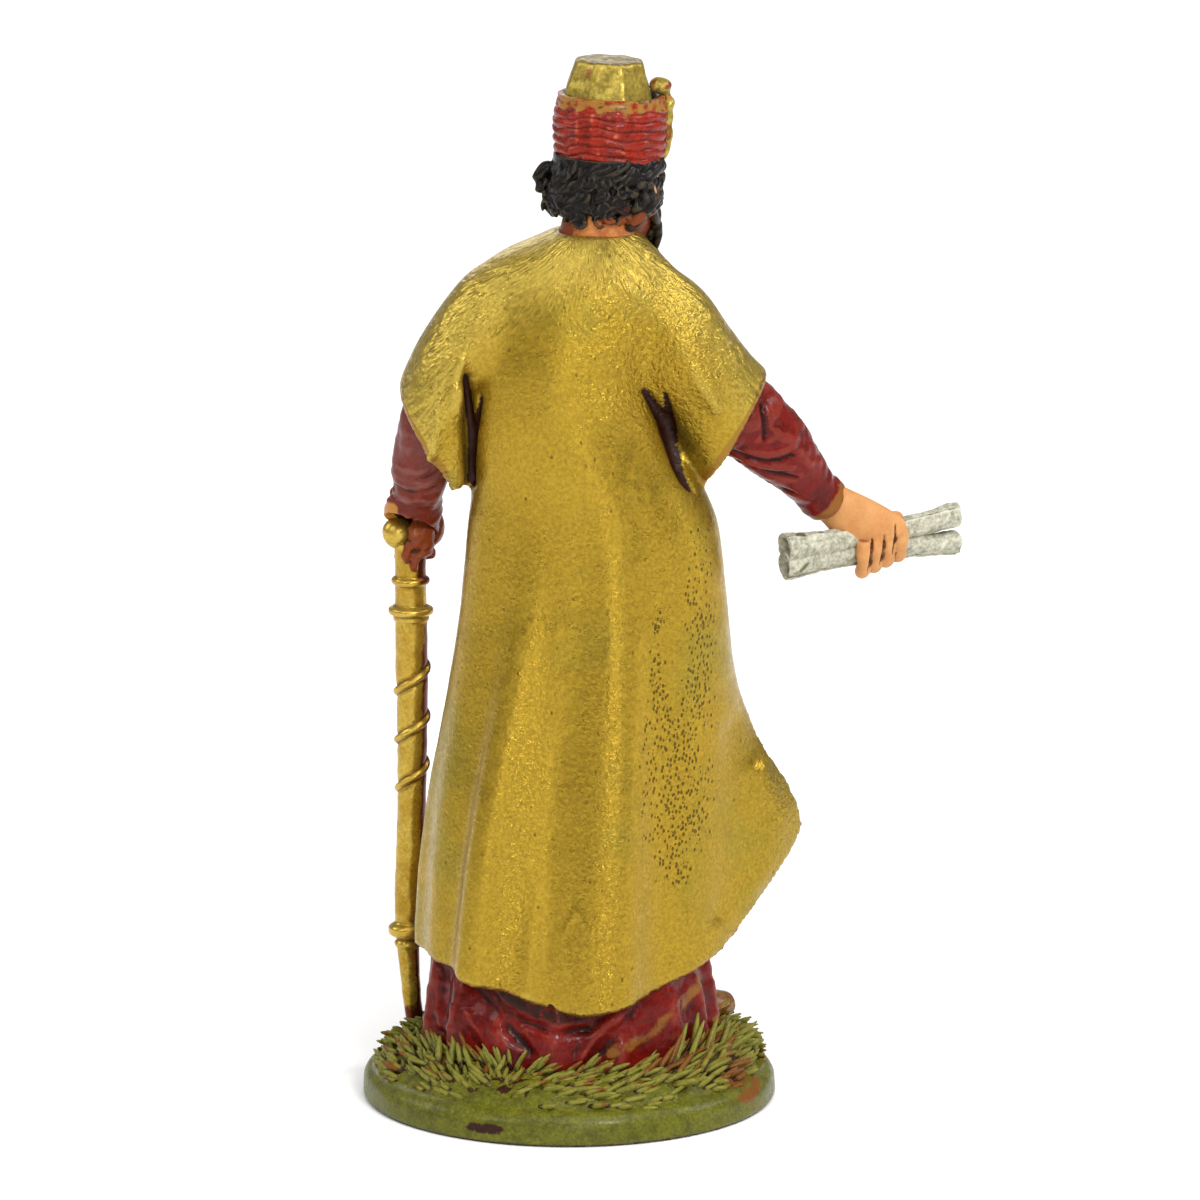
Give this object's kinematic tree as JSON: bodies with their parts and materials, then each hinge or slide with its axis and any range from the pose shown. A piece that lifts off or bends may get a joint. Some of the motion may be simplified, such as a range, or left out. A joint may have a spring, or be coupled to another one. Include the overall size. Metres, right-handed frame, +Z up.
{
  "type": "presepe figure",
  "caption": "Small painted nativity figure: a bearded man in a turban and open gold mantle, with a staff and parchment rolls, on a round grassy plinth.",
  "frame": {"origin": "centre of the round plinth's flat underside", "axes": "+Z up; the man faces -Y and his left side, with the staff, is +X"},
  "size_m": [0.06, 0.0412, 0.1051],
  "materials": {
    "mantle_gold": "satin metallic gold paint with a dark wash in its pits and folds",
    "robe_red": "dark red paint with a near-black wash in the folds and glossy edges",
    "turban_red": "brighter red paint with dark grooves between the wraps",
    "skin": "tan paint with a brown wash between the fingers",
    "hair_black": "black paint with grey highlights on the curls",
    "parchment": "off-white paint with grey-green mottling",
    "grass_green": "green paint brushed over brown",
    "shoe_brown": "worn golden-brown paint"
  },
  "bodies": {
    "root": {"figure": "mantle_gold"}
  },
  "joints": []
}
